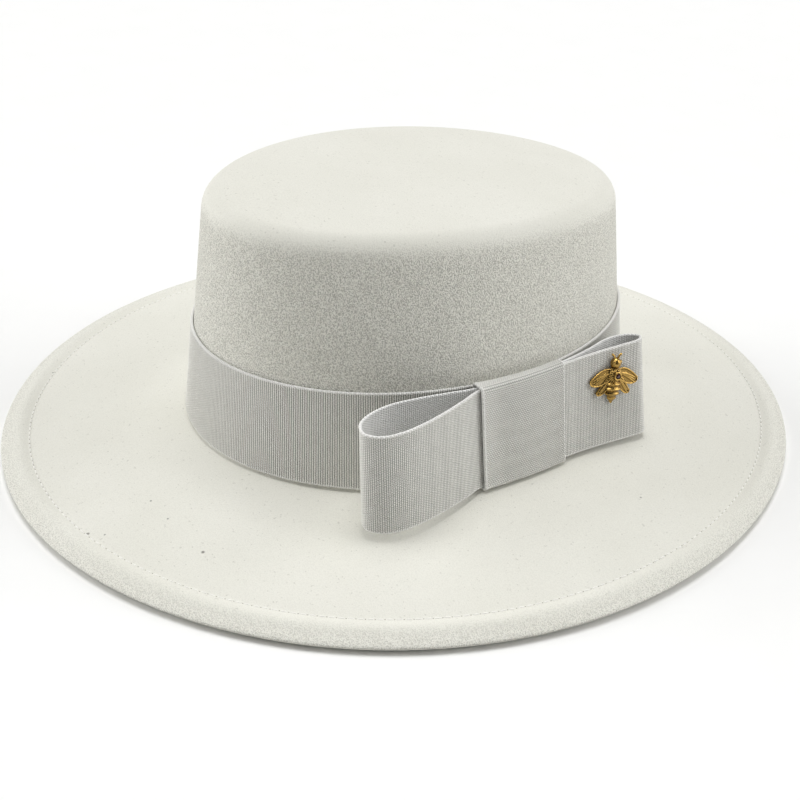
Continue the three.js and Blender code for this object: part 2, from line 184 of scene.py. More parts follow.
def noise(tree, where, size, detail=2.0):
    """Cloudy noise, with patches of about this size."""
    return put(tree, "ShaderNodeTexNoise", {
        "Vector": where, "Scale": 1 / size, "Detail": detail}).outputs["Fac"]


def two_tone(tree, factor, low, high, start=0.0, end=1.0):
    """A colour that runs from one hex value to another as the factor goes from start to end."""
    ramp = put(tree, "ShaderNodeValToRGB", {"Fac": factor})
    for stop, place, code in zip(ramp.color_ramp.elements, (start, end), (low, high)):
        stop.position = place
        stop.color = colour(code)
    return ramp.outputs["Color"]


def laid_over(tree, factor, base, over):
    """A colour, given as a hex value, laid over another by a factor."""
    return put(tree, "ShaderNodeMix", {
        "Factor": factor, 6: base, 7: colour(over)}, data_type="RGBA").outputs[2]


def relief(tree, height, depth_mm):
    """The shading of a surface too fine to model."""
    return put(tree, "ShaderNodeBump", {
        "Height": height, "Distance": depth_mm * MM, "Strength": 1.0}).outputs["Normal"]


def new_material(name, **constants):
    """A material with one Principled shader, whose constant values sit on its own sockets."""
    material = bpy.data.materials.new(name)
    material.use_nodes = True
    shader = material.node_tree.nodes["Principled BSDF"]
    for socket, value in constants.items():
        shader.inputs[socket.replace("_", " ")].default_value = value
    return material, material.node_tree, shader


# Finishes

def wool_felt():
    """Pressed wool felt, blocked over a form: matt, with a short nap that glows at grazing angles.
    Its grain stands open on the crown's wall and along the worn rim, with dark pits, and is pressed
    flat elsewhere. Where it stands open the felt is paler: partly pale fibre tips, and on the crown's
    wall partly painted light.
    Faint pricks are strewn over it, and a few dark specks of lint are caught on the brim. The grain
    is drawn about twice as coarse as the real fibres, so that it shows."""
    material, tree, shader = new_material(
        "pressed_wool_felt", Roughness=0.92, Specular_IOR_Level=0.2, Sheen_Weight=0.12, Sheen_Roughness=0.5)
    grain_mm, prick_mm, cloud_mm, relief_mm = 0.5, 1.3, 45.0, 0.5
    fibre_tips_and_wall_light_share, pit_share, prick_share, speck_share = 0.5, 0.65, 0.3, 0.75
    where = places(tree)
    open_grain_and_wall_light = put(tree, "ShaderNodeAttribute", attribute_name="open_grain_and_wall_light").outputs["Fac"]
    grain = noise(tree, where, grain_mm * MM, 0.5)
    cloud = noise(tree, where, cloud_mm * MM, 4.0)
    prick = noise(tree, where, prick_mm * MM, 1.0)
    felted = two_tone(tree, cloud, "#e5e4da", "#eae9e0", 0.3, 0.7)
    # Painted light: where the grain stands open the felt is laid paler, partly pale fibre tips and, on the
    # crown's wall, partly standing in for light
    felted = laid_over(tree, maths(tree, "MULTIPLY", open_grain_and_wall_light, fibre_tips_and_wall_light_share), felted, "#fdfcf3")
    pits = rescale(tree, grain, (0.6, 0.35), (0.0, pit_share))
    felted = laid_over(tree, maths(tree, "MULTIPLY", pits, open_grain_and_wall_light), felted, "#9f9d92")
    felted = laid_over(tree, rescale(tree, prick, (0.68, 0.76), (0.0, prick_share)), felted, "#9f9d92")
    for x, y, z, radius in SPECKS:
        away = put(tree, "ShaderNodeVectorMath", {
            0: where, 1: (x * MM, y * MM, z * MM)}, operation="DISTANCE").outputs["Value"]
        fading = (0.4 * radius * MM, 1.2 * radius * MM)
        felted = laid_over(tree, rescale(tree, away, fading, (speck_share, 0.0)), felted, "#4a4740")
    height = maths(tree, "MULTIPLY", grain, open_grain_and_wall_light)
    feed(tree, shader, {"Base Color": felted, "Normal": relief(tree, height, relief_mm)})
    return material


def pierced_felt():
    """Felt drawn down into the needle's holes: matt, and darker because it lies in its own shade."""
    material, tree, shader = new_material("pierced_wool_felt", Roughness=0.95, Specular_IOR_Level=0.1)
    tuft_mm = 0.3
    tuft = noise(tree, places(tree), tuft_mm * MM)
    feed(tree, shader, {"Base Color": two_tone(tree, tuft, "#8f8c81", "#b9b6aa")})
    return material


def elastic_ribbon(name, rib_pitch, cord_pitch, ribs, cords):
    """Woven elastic ribbon: crosswise ribs crossed by staggered lengthwise threads, matt with a faint
    lustre. The gaps between threads are coloured darker as painted shade, and the crests hide this
    painted shade where the ribbon is seen aslant; the close-woven selvedges are paler, partly as a
    painted highlight along each edge, and the reverse is made paler as painted light. Ribs and threads
    are drawn a little coarser than the real weave, so that they show."""
    material, tree, shader = new_material(
        name, Roughness=0.75, Specular_IOR_Level=0.3, Sheen_Weight=0.3, Sheen_Roughness=0.4)
    selvedge_mm, patch_mm, relief_mm = 0.9, 3.0, 0.1
    aslant_share, patch_share, selvedge_and_highlight_share, reverse_painted_light_share = 0.7, 0.15, 0.85, 0.95
    gap_painted_shade_tone, crest_tone = "#42413b", "#f6f5ef"
    weave = put(tree, "ShaderNodeUVMap", uv_map="weave").outputs["UV"]
    split = put(tree, "ShaderNodeSeparateXYZ", {"Vector": weave})
    along = maths(tree, "MULTIPLY", split.outputs["X"], TURN / rib_pitch)
    across = maths(tree, "MULTIPLY", split.outputs["Y"], TURN / cord_pitch)
    rib = maths(tree, "COSINE", along)
    swap = maths(tree, "COSINE", maths(tree, "MULTIPLY", along, 0.5))
    stagger = maths(tree, "MULTIPLY", maths(tree, "COSINE", across), swap)
    woven = maths(tree, "MULTIPLY_ADD", stagger, cords, maths(tree, "MULTIPLY", rib, ribs))
    # Painted shade: the gaps between threads are coloured dark, standing in for the shade in the weave's
    # recesses
    cloth = two_tone(tree, rescale(tree, woven, (-1.45, 0.0)), gap_painted_shade_tone, crest_tone)
    aslant = put(tree, "ShaderNodeLayerWeight", {"Blend": 0.5}).outputs["Facing"]
    # Where the ribbon is seen aslant the painted shade of the gaps fades to the crest colour
    cloth = laid_over(tree, rescale(tree, aslant, (0.25, 0.8), (0.0, aslant_share)), cloth, crest_tone)
    uneven = noise(tree, weave, patch_mm, 3.0)
    cloth = laid_over(tree, rescale(tree, uneven, (0.3, 0.7), (0.0, patch_share)), cloth, "#b9b8b1")
    # Paler selvedges: the close weave has no gaps, and a painted highlight runs along each edge
    fading = (0.7 * selvedge_mm, 1.1 * selvedge_mm)
    at_edge = rescale(tree, split.outputs["Y"], fading, (selvedge_and_highlight_share, 0.0))
    cloth = laid_over(tree, at_edge, cloth, "#fbfaf6")
    # Painted light: the reverse face, inside the loops, is made paler to stand in for light reaching it
    reverse = put(tree, "ShaderNodeAttribute", attribute_name="reverse").outputs["Fac"]
    cloth = laid_over(tree, maths(tree, "MULTIPLY", reverse, reverse_painted_light_share), cloth, "#fdfdfb")
    feed(tree, shader, {"Base Color": cloth, "Normal": relief(tree, woven, relief_mm)})
    return material


def cotton_thread():
    """Twisted cotton sewing thread: matt, a shade lighter than the felt, with a fine diagonal twist."""
    material, tree, shader = new_material("cotton_thread", Roughness=0.85, Sheen_Weight=0.2)
    twist_mm = 0.25
    twist = put(tree, "ShaderNodeTexWave", {
        "Vector": places(tree), "Scale": 0.3 / (twist_mm * MM), "Distortion": 1.0,
    }, bands_direction="DIAGONAL").outputs["Fac"]
    feed(tree, shader, {"Base Color": two_tone(tree, twist, "#ebe9e1", "#fdfcf8")})
    return material


def antique_gold():
    """Gold-plated zinc casting: bright on the ridges, brown patina left in the hollows."""
    material, tree, shader = new_material("antique_gold_casting", Metallic=1.0)
    cast_mm, relief_mm = 0.55, 0.12
    raised = put(tree, "ShaderNodeNewGeometry").outputs["Pointiness"]
    cast = noise(tree, places(tree), cast_mm * MM)
    feed(tree, shader, {
        "Base Color": two_tone(tree, raised, "#2a1505", "#e6bd6c", 0.46, 0.555),
        "Roughness": rescale(tree, cast, new=(0.12, 0.38)),
        "Normal": relief(tree, cast, relief_mm),
    })
    return material


def garnet_glass():
    """Dark red faceted glass: nearly black, with clear highlights on its facets."""
    material, tree, shader = new_material("garnet_glass", Roughness=0.05, IOR=1.6, Coat_Weight=0.5)
    depth_mm = 1.5
    depth = noise(tree, places(tree), depth_mm * MM)
    feed(tree, shader, {"Base Color": two_tone(tree, depth, "#12060a", "#4a1214")})
    return material


def plated_steel():
    """Nickel-plated steel of the hidden clutch: satin, with fine turning marks."""
    material, tree, shader = new_material("plated_steel", Metallic=1.0)
    mark_mm = 0.3
    marks = noise(tree, places(tree), mark_mm * MM)
    feed(tree, shader, {
        "Base Color": two_tone(tree, marks, "#8f8d86", "#c9c7c0"),
        "Roughness": rescale(tree, marks, new=(0.25, 0.45)),
    })
    return material


def studio_paper():
    """Plain white backdrop paper: matt, with a faint cloudiness."""
    material, tree, shader = new_material("studio_paper", Roughness=0.95, Specular_IOR_Level=0.1)
    cloud_mm = 25.0
    cloud = noise(tree, places(tree), cloud_mm * MM, 4.0)
    feed(tree, shader, {"Base Color": two_tone(tree, cloud, "#f9f9f8", "#fdfdfc")})
    return material


# Mesh helpers

def make_object(name, points_mm, faces, material, smooth=True):
    """A mesh object at the origin from points in millimetres."""
    mesh = bpy.data.meshes.new(name)
    mesh.from_pydata((np.asarray(points_mm) * MM).tolist(), [], faces)
    mesh.materials.append(material)
    mesh.polygons.foreach_set("use_smooth", [smooth] * len(mesh.polygons))
    mesh.update()
    obj = bpy.data.objects.new(name, mesh)
    bpy.context.collection.objects.link(obj)
    return obj


def grid_faces(columns, rows, start=0, closed=True, flip=False):
    """Quads of a grid whose vertices run row by row within each column."""
    faces = []
    for i in range(columns if closed else columns - 1):
        for j in range(rows - 1):
            a = start + i * rows + j
            b = start + ((i + 1) % columns) * rows + j
            quad = (a, b, b + 1, a + 1)
            faces.append(quad[::-1] if flip else quad)
    return faces


# Felt body

def rounded_line(corners):
    """A line through corner points, each rounded by its radius: points and left-hand normals.
    A corner's run is how many steps lead up to it."""
    points, headings = [], []

    def add(point, heading):
        if points and np.linalg.norm(points[-1] - point) < 1e-6:
            return
        points.append(point)
        headings.append(heading)

    places = [np.array(c["at"], float) for c in corners]
    for i, corner in enumerate(corners):
        arriving = leaving = None
        if i > 0:
            arriving = (places[i] - places[i - 1]) / np.linalg.norm(places[i] - places[i - 1])
        if i < len(corners) - 1:
            leaving = (places[i + 1] - places[i]) / np.linalg.norm(places[i + 1] - places[i])
        if arriving is None:
            add(places[i], np.array(corner["heading"], float))
            continue
        turn, radius = 0.0, corner.get("radius", 0.0)
        if leaving is not None:
            turn = math.atan2(arriving[0] * leaving[1] - arriving[1] * leaving[0], arriving @ leaving)
        start = places[i] - arriving * radius * math.tan(abs(turn) / 2)
        last = points[-1]
        for k in range(1, corner.get("run", 1)):
            add(last + (start - last) * k / corner["run"], arriving)
        centre = start + np.array([-arriving[1], arriving[0]]) * radius * np.sign(turn)
        steps = corner.get("steps", 1)
        for k in range(steps + 1):
            angle = turn * k / steps
            spin = np.array([[math.cos(angle), -math.sin(angle)], [math.sin(angle), math.cos(angle)]])
            add(centre + spin @ (start - centre), spin @ arriving)
    headings = np.array(headings)
    return np.array(points), np.stack([-headings[:, 1], headings[:, 0]], axis=1)


def felt_line(half_foot, taper, half_brim):
    """The middle of the felt from the tip's centre to the raw edge of the hem, in one upright plane."""
    half = FELT / 2
    wall_foot = half_foot - half / math.cos(math.atan(taper))
    tip = CROWN["tip"] - half
    out = (wall_foot - taper * (tip - FOOT)) / (1 - taper * CROWN["tip_fall"])
    shoulder = np.array([out, tip - CROWN["tip_fall"] * out])
    foot = np.array([wall_foot + taper * half, FOOT - half])
    rim_radius = BRIM["fold"] + half
    rim = np.array([half_brim - rim_radius, rim_radius - BRIM["flattened"]])
    rim_top = rim + [0, BRIM["fold"]]
    arch = (foot + rim_top) / 2 + [0, BRIM["arch"]]
    outwards = (rim_top - arch) / np.linalg.norm(rim_top - arch)
    under = np.array([outwards[1], -outwards[0]])
    fold_out = rim + outwards * BRIM["fold"]
    fold_under = fold_out + under * BRIM["fold"]
    return rounded_line([
        dict(at=(0, tip), heading=(1, 0)),
        dict(at=shoulder, radius=CROWN["shoulder"] - half, run=14, steps=10),
        dict(at=foot, radius=BRIM["breaking"] + half, run=24, steps=6),
        dict(at=arch, radius=BRIM["arch_radius"], run=12, steps=8),
        dict(at=fold_out - under * BRIM["fold"], radius=BRIM["fold"], run=26, steps=6),
        dict(at=fold_under, radius=BRIM["fold"], steps=6),
        dict(at=fold_under - outwards * (BRIM["fold"] + BRIM["rest_width"]), run=3),
        dict(at=fold_under - outwards * BRIM["hem"], run=12),
    ])


def hem_shape(points, normals, half_brim):
    """Height that the sewn hem adds to the outer face: a shallow groove at the seam, a soft roll
    outside it, and a nose that stands clear of the floor."""
    inset = half_brim - points[:, 0]
    upwards = np.clip(normals[:, 1], 0, 1)
    under = 0.5 - 0.5 * normals[:, 1]
    groove = HEM["groove"] * np.exp(-((inset - HEM["seam_inset"]) / HEM["groove_width"]) ** 2)
    puff = HEM["puff"] * np.exp(-((inset - HEM["puff_inset"]) / HEM["puff_width"]) ** 2)
    roll = HEM["roll"] * np.clip(1 - inset / HEM["roll_width"], 0, 1) ** 2
    lift = HEM["lift"] * np.clip(1 - inset / HEM["lift_width"], 0, 1) ** 2
    return upwards * (puff - groove) - (1 - under) * roll + under * lift


def felt_skins(half_foot, taper, half_brim):
    """The outer face from the tip to the hem's raw edge, and the inner face back again."""
    points, normals = felt_line(half_foot, taper, half_brim)
    outer = points + normals * FELT / 2
    outer[:, 1] += np.where(points[:, 1] < FOOT, hem_shape(points, normals, half_brim), 0)
    inner = points - normals * FELT / 2
    return outer, inner[::-1]


def rake_lift(y, height):
    """How far a point of the crown is lifted by the rake of the tip."""
    return -y * CROWN["rake"] * np.maximum(height, 0) / (CROWN["tip"] - FOOT)


def hand_blocked(x, y, height):
    """The slight unevenness of felt that was pulled over a form by hand."""
    angle = np.arctan2(y, x)
    reach = np.hypot(x, y) / BRIM["half_length"]
    waves = sum(swell * np.sin(times * angle + phase) for swell, times, phase in FELT_WAVES)
    on_brim = np.clip(reach * 2.2 - 1.1, 0, 1) * np.clip((1 - reach) * 6, 0, 1)
    return waves * on_brim


def cut_in(angle, reach):
    """The share of its full reach that the brim keeps: it was cut a little shorter behind the bow."""
    turned = angle - CUT_IN["angle"]
    away = np.arctan2(np.sin(turned), np.cos(turned)) / CUT_IN["spread"]
    share = np.clip((reach - CROWN["half_width"]) / (BRIM["half_width"] - CROWN["half_width"]), 0, 1)
    return 1 - CUT_IN["depth"] * share * np.exp(-away ** 2) / BRIM["half_width"]


def above_band(height):
    """How far a height lies up the wall above the band, softly from nothing to one."""
    band_top = BAND["bottom"] + BAND["width"]
    return np.clip((height - band_top) / (CROWN["tip"] - FOOT - band_top), 0, 1) ** 2


def felt_grid(rows_side, rows_front):
    """Turns a profile for the sides and one for front and back into a whole oval surface."""
    angle = (np.arange(FELT_ROUND) * TURN / FELT_ROUND)[:, None]
    cos, sin = np.cos(angle), np.sin(angle)
    shorter = cut_in(angle, rows_side[None, :, 0])
    x = rows_side[None, :, 0] * cos * shorter
    y = rows_front[None, :, 0] * sin * shorter
    z = rows_side[None, :, 1] * cos ** 2 + rows_front[None, :, 1] * sin ** 2
    share = above_band(z - FOOT)
    arch = CROWN["crest"] * share * (1 - (y / CROWN["arch_length"]) ** 2)
    z = z + rake_lift(y, z - FOOT) + arch + hand_blocked(x, y, z)
    x = x * (1 - CROWN["drawn_in"] * share / CROWN["half_width"])
    return np.stack([x, y, np.maximum(z, 0)], axis=-1)


def felt_profiles():
    """Outer and inner face, for the sides and for front and back."""
    side = felt_skins(CROWN["half_width"], CROWN["taper_width"], BRIM["half_width"])
    front = felt_skins(CROWN["half_length"], CROWN["taper_length"], BRIM["half_length"])
    return side, front


def open_grain_and_wall_light(profile):
    """How far the grain stands open along a profile; the same share lays painted light on the crown's wall.
    """
    x, z = profile[:, 0], profile[:, 1]
    foot_up = np.clip((z - FOOT) / OPEN_GRAIN_AND_WALL_LIGHT["wall_fade"], 0, 1)
    tip_down = np.clip((CROWN["tip"] - OPEN_GRAIN_AND_WALL_LIGHT["below_tip"] - z) / OPEN_GRAIN_AND_WALL_LIGHT["wall_fade"], 0, 1)
    at_rim = np.clip((x - BRIM["half_width"] + OPEN_GRAIN_AND_WALL_LIGHT["rim_inset"]) / OPEN_GRAIN_AND_WALL_LIGHT["rim_fade"], 0, 1)
    share = np.maximum(foot_up * tip_down, at_rim * OPEN_GRAIN_AND_WALL_LIGHT["rim_share"])
    return OPEN_GRAIN_AND_WALL_LIGHT["flat"] + (1 - OPEN_GRAIN_AND_WALL_LIGHT["flat"]) * share


def felt_body(material):
    """Crown, brim and hem as one closed skin of felt."""
    (side_out, side_in), (front_out, front_in) = felt_profiles()
    side = np.concatenate([side_out[1:], side_in[:-1]])
    front = np.concatenate([front_out[1:], front_in[:-1]])
    grid = felt_grid(side, front)
    rows = len(side)
    poles = [(0, 0, skin[row, 1] + CROWN["crest"] * above_band(skin[row, 1] - FOOT))
             for skin, row in ((side_out, 0), (side_in, -1))]
    points = [*grid.reshape(-1, 3), *poles]
    top, bottom = len(points) - 2, len(points) - 1
    faces = grid_faces(FELT_ROUND, rows, flip=True)
    for i in range(FELT_ROUND):
        this, following = i * rows, ((i + 1) % FELT_ROUND) * rows
        faces.append((top, this, following))
        faces.append((bottom, following + rows - 1, this + rows - 1))
    body = make_object("felt_hat_body", points, faces, material)
    # How far the grain stands open; this also lays painted light on the crown's wall
    grain = [*np.tile(open_grain_and_wall_light(side), FELT_ROUND), OPEN_GRAIN_AND_WALL_LIGHT["flat"], OPEN_GRAIN_AND_WALL_LIGHT["flat"]]
    body.data.attributes.new("open_grain_and_wall_light", "FLOAT", "POINT").data.foreach_set("value", grain)
    return body


# Ribbon

def ribbon_rows(width):
    """Places across the ribbon, closer at its two selvedges, with the ribbon's thickness there."""
    edge = [(0.0, 0.5), (0.18, 0.95), (0.5, 1.22), (0.9, 1.16), (1.3, 1.0)]
    inside = [(width * t, 1.0) for t in (0.25, 0.5, 0.75)]
    rows = edge + inside + [(width - place, thick) for place, thick in reversed(edge)]
    return np.array(rows)


def ribbon_strip(name, middle, length, rows, rib_relief, material):
    """A closed strip of ribbed ribbon about its middle surface: columns round it, rows across it."""
    columns, count = middle.shape[:2]
    along = np.roll(middle, -1, axis=0) - np.roll(middle, 1, axis=0)
    across = np.gradient(middle, axis=1)
    normal = np.cross(along, across)
    normal /= np.linalg.norm(normal, axis=2, keepdims=True)
    crest = 0.5 + 0.5 * np.cos(TURN * np.arange(columns) / RIB_STEPS)
    thick = rows[None, :, 1] * RIBBON / 2
    inside = (rows[:, 1] == 1.0)[None, :]
    relief = rib_relief * (crest[:, None] - 0.5) * np.where(inside, 1.0, 0.5)
    offset = (thick + relief)[..., None] * normal
    points = np.concatenate([(middle + offset).reshape(-1, 3), (middle - offset).reshape(-1, 3)])
    start = columns * count
    faces = grid_faces(columns, count)
    faces += grid_faces(columns, count, start=start, flip=True)
    for i in range(columns):
        a, b = i * count, ((i + 1) % columns) * count
        last = count - 1
        faces.append((a + start, b + start, b, a))
        faces.append((a + last, b + last, b + start + last, a + start + last))
    strip = make_object(name, points, faces, material)
    reverse = np.repeat([0.0, 1.0], start)
    strip.data.attributes.new("reverse", "FLOAT", "POINT").data.foreach_set("value", reverse)
    lay_weave(strip.data, columns, count, length, rows)
    return strip


def lay_weave(mesh, columns, count, length, rows):
    """A UV map in millimetres: along the ribbon's length, and in from its nearer selvedge."""
    corner = np.empty(len(mesh.loops), int)
    mesh.loops.foreach_get("vertex_index", corner)
    column, row = (corner % (columns * count)) // count, corner % count
    quads = column.reshape(-1, 4)
    wrapped = (quads == 0) & (quads.max(axis=1, keepdims=True) == columns - 1)
    column = np.where(wrapped, columns, quads).reshape(-1)
    in_from_edge = np.minimum(rows[:, 0], rows[-1, 0] - rows[:, 0])
    uv = np.stack([column * length / columns, in_from_edge[row]], axis=1)
    mesh.uv_layers.new(name="weave").data.foreach_set("uv", uv.astype(np.float32).ravel())


def run_round(points):
    """A closed line of points, and how far along it each one lies."""
    closed = np.concatenate([points, points[:1]])
    return closed, np.concatenate([[0], np.cumsum(np.linalg.norm(np.diff(closed, axis=0), axis=1))])


def length_round(points):
    """The length of a closed line of points."""
    return run_round(points)[1][-1]


def even_steps(points, count):
    """Evenly spaced places round a closed line of points."""
    closed, run = run_round(points)
    targets = np.arange(count) * run[-1] / count
    return np.stack([np.interp(targets, run, closed[:, k]) for k in range(closed.shape[1])], axis=1)


def rib_columns(length):
    """How many columns a closed strip needs so that whole ribs go round it, an even number of them."""
    return 2 * round(length / RIB_PITCH / 2) * RIB_STEPS


def crown_oval(height):
    """Half width and half length of the crown's outside at a height above its foot."""
    width = CROWN["half_width"] - CROWN["taper_width"] * height
    return width, CROWN["half_length"] - CROWN["taper_length"] * height


def hat_band(material):
    """The ribbon round the crown's foot, and its length."""
    rows = ribbon_rows(BAND["width"])
    out = GAP + RIBBON / 2
    width, length = crown_oval(BAND["bottom"] + BAND["width"] / 2)
    fine = np.linspace(0, TURN, 4000, endpoint=False)
    oval = np.stack([(width + out) * np.cos(fine), (length + out) * np.sin(fine)], axis=1)
    girth = length_round(oval)
    evenly = even_steps(oval, rib_columns(girth))
    angle = np.arctan2(evenly[:, 1] / (length + out), evenly[:, 0] / (width + out))[:, None]
    height = (BAND["bottom"] + rows[:, 0])[None, :]
    half_width, half_length = crown_oval(height - rake_lift(CROWN["half_length"] * np.sin(angle), height))
    x = (half_width + out) * np.cos(angle)
    y = (half_length + out) * np.sin(angle)
    middle = np.stack(np.broadcast_arrays(x, y, FOOT + height), axis=-1)
    return ribbon_strip("hat_band_ribbon", middle, girth, rows, STRETCHED_RELIEF, material), girth


def band_face(along):
    """Where the band's outer face lies at the middle height of the bow."""
    width, length = crown_oval(BOW["middle"])
    face = GAP + RIBBON
    return (width + face) * np.sqrt(1 - (along / (length + face)) ** 2)


def beyond_knot(along):
    """How far along the band a place lies beyond the edge of the knot, less than nothing to the front."""
    return np.sign(along) * np.maximum(np.abs(along) - KNOT["half"], 0)


def bow_lean(along):
    """The bow leans in with the crown's wall, and its loops twist a little beyond the knot."""
    return CROWN["taper_width"] + BOW["twist"] * beyond_knot(along)


def on_bow(out, along, height):
    """A place on the bow, from how far out, along and up it lies."""
    x = band_face(0) + out - bow_lean(along) * (height - BOW["middle"])
    return np.stack(np.broadcast_arrays(x, along, FOOT + height), axis=-1)


def smooth_loop(points, steps):
    """A centripetal Catmull-Rom curve round a closed list of points."""
    curve = []
    count = len(points)
    for i in range(count):
        p0, p1, p2, p3 = (points[(i + k) % count] for k in (-1, 0, 1, 2))
        d0, d1, d2 = (math.sqrt(np.linalg.norm(b - a)) for a, b in ((p0, p1), (p1, p2), (p2, p3)))
        leave = ((p1 - p0) / d0 - (p2 - p0) / (d0 + d1) + (p2 - p1) / d1) * d1
        arrive = ((p2 - p1) / d1 - (p3 - p1) / (d1 + d2) + (p3 - p2) / d2) * d1
        for t in np.arange(steps) / steps:
            bend = (2 * p1 - 2 * p2 + leave + arrive) * t ** 3
            curve.append(p1 + leave * t + (3 * p2 - 3 * p1 - 2 * leave - arrive) * t ** 2 + bend)
    return np.array(curve)


def bow_loops(material):
    """The strip that makes both loops, and its length."""
    rows = ribbon_rows(BOW["width"])
    plan = smooth_loop(np.array([(out, along) for _, along, out in BOW_PLAN], float), 60)
    length = length_round(plan)
    line = even_steps(plan, rib_columns(length))[::-1]
    out, along = line[:, :1], line[:, 1:]
    sag = BOW["droop"] * np.abs(beyond_knot(along))
    middle = on_bow(out, along, BOW["bottom"] + rows[None, :, 0] - sag)
    return ribbon_strip("bow_loops", middle, length, rows, SLACK_RELIEF, material), length


def knot_face(along):
    """The knot's face through its two edges and its middle."""
    t = along / KNOT["half"]
    tilt = (KNOT_FACE["rear"] - KNOT_FACE["front"]) / 2
    bend = (KNOT_FACE["rear"] + KNOT_FACE["front"]) / 2 - KNOT_FACE["middle"]
    return KNOT_FACE["middle"] + tilt * t + bend * t * t


def bow_knot(material):
    """The strip wrapped round the bow's middle, its front edge curling out, and its length."""
    rows = ribbon_rows(2 * KNOT["half"])
    clear = GAP + RIBBON / 2
    top = BOW["bottom"] + BOW["width"] + clear
    bottom = BOW["bottom"] - clear
    radius = KNOT["corner"]
    sections = []
    for along in rows[:, 0] - KNOT["half"]:
        edge = np.clip(1 - (along + KNOT["half"]) / KNOT["curl_width"], 0, 1)
        front = knot_face(along) + KNOT["curl"] * edge ** 2
        back = band_face(along) - band_face(0) + clear
        section = []
        corners = [(front - radius, top - radius), (back + radius, top - radius),
                   (back + radius, bottom + radius), (front - radius, bottom + radius)]
        for quarter, (x, z) in enumerate(corners):
            for t in np.linspace(0, 1, KNOT["corner_steps"]):
                angle = (quarter + t) * math.pi / 2
                section.append((x + radius * math.cos(angle), z + radius * math.sin(angle)))
        sections.append((along, np.array(section)))
    girth = length_round(sections[len(sections) // 2][1])
    columns = rib_columns(girth)
    lines = []
    for along, section in sections:
        line = even_steps(section, columns)
        lines.append(on_bow(line[:, 0], np.full(columns, along), line[:, 1]))
    middle = np.stack(lines, axis=1)[::-1]
    return ribbon_strip("bow_knot_wrap", middle, girth, rows, SLACK_RELIEF, material), girth


# Hem stitches

def sewing_tree(name, material):
    """Beads set along a path: named inputs give their spacing and size, and how far along they shift."""
    tree = bpy.data.node_groups.new(name, "GeometryNodeTree")
    tree.is_modifier = True
    tree.interface.new_socket("Path", in_out="INPUT", socket_type="NodeSocketGeometry")
    for size in STITCH:
        tree.interface.new_socket(size, in_out="INPUT", socket_type="NodeSocketFloat")
    tree.interface.new_socket("Beads", in_out="OUTPUT", socket_type="NodeSocketGeometry")
    given = put(tree, "NodeGroupInput").outputs
    places = put(tree, "GeometryNodeResampleCurve", {
        "Curve": given["Path"], "Length": given["spacing"]}, mode="LENGTH")
    heading = put(tree, "FunctionNodeAlignRotationToVector", {
        "Vector": put(tree, "GeometryNodeInputTangent").outputs["Tangent"]}, axis="X")
    ball = put(tree, "GeometryNodeMeshUVSphere", {"Segments": 8, "Rings": 6, "Radius": 0.5})
    size = put(tree, "ShaderNodeCombineXYZ", {
        "X": given["length"], "Y": given["width"], "Z": given["height"]})
    shift = put(tree, "ShaderNodeCombineXYZ", {"X": given["shift"]})
    bead = put(tree, "GeometryNodeTransform", {
        "Geometry": ball.outputs["Mesh"], "Scale": size.outputs["Vector"],
        "Translation": shift.outputs["Vector"]})
    row = put(tree, "GeometryNodeInstanceOnPoints", {
        "Points": places.outputs["Curve"], "Instance": bead.outputs["Geometry"],
        "Rotation": heading.outputs["Rotation"]})
    solid = put(tree, "GeometryNodeRealizeInstances", {"Geometry": row.outputs["Instances"]})
    rounded = put(tree, "GeometryNodeSetShadeSmooth", {"Geometry": solid.outputs["Geometry"]})
    finished = put(tree, "GeometryNodeSetMaterial", {
        "Geometry": rounded.outputs["Geometry"], "Material": material})
    put(tree, "NodeGroupOutput", {"Beads": finished.outputs["Geometry"]})
    return tree


def sewn_row(name, path_mm, sizes, material):
    """Sets beads along a closed path and keeps them as a plain mesh."""
    curve = bpy.data.curves.new(name + "_path", "CURVE")
    curve.dimensions = "3D"
    spline = curve.splines.new("POLY")
    spline.points.add(len(path_mm) - 1)
    spline.points.foreach_set("co", np.column_stack([path_mm * MM, np.ones(len(path_mm))]).ravel())
    spline.use_cyclic_u = True
    path = bpy.data.objects.new(name + "_path", curve)
    bpy.context.collection.objects.link(path)
    sewing = path.modifiers.new("sewing", "NODES")
    sewing.node_group = sewing_tree(name, material)
    for socket in sewing.node_group.interface.items_tree:
        if socket.name in sizes:
            sewing[socket.identifier] = sizes[socket.name] * MM
    bpy.context.view_layer.update()
    mesh = bpy.data.meshes.new_from_object(path.evaluated_get(bpy.context.evaluated_depsgraph_get()))
    bpy.data.objects.remove(path)
    mesh.name = name
    beads = bpy.data.objects.new(name, mesh)
    bpy.context.collection.objects.link(beads)
    return beads


def seam_path(skin_side, skin_front, above):
    """The line of the seam on the outer face, over the brim or under its hem."""
    rim = np.argmax(skin_side[:, 0])
    rows = np.arange(len(skin_side))
    on_hem = (rows < rim) if above else (rows > rim)
    miss = np.abs(BRIM["half_width"] - skin_side[:, 0] - HEM["seam_inset"])
    nearest = np.argmin(np.where(on_hem & (skin_side[:, 1] < FOOT), miss, np.inf))
    return felt_grid(skin_side[nearest:nearest + 1], skin_front[nearest:nearest + 1])[:, 0]


def hem_seam(thread, shaded_felt):
    """The row of stitches that holds the hem, on both faces, with the needle's holes on top."""
    (side, _), (front, _) = felt_profiles()
    over, under = seam_path(side, front, True), seam_path(side, front, False)
    return [
        sewn_row("hem_stitches_over", over, STITCH, thread),
        sewn_row("hem_stitches_under", under, STITCH, thread),
        sewn_row("hem_needle_holes", over, NEEDLE_HOLE, shaded_felt),
    ]


# Bee pin, drawn facing +X with its head up and its back in the plane x = 0

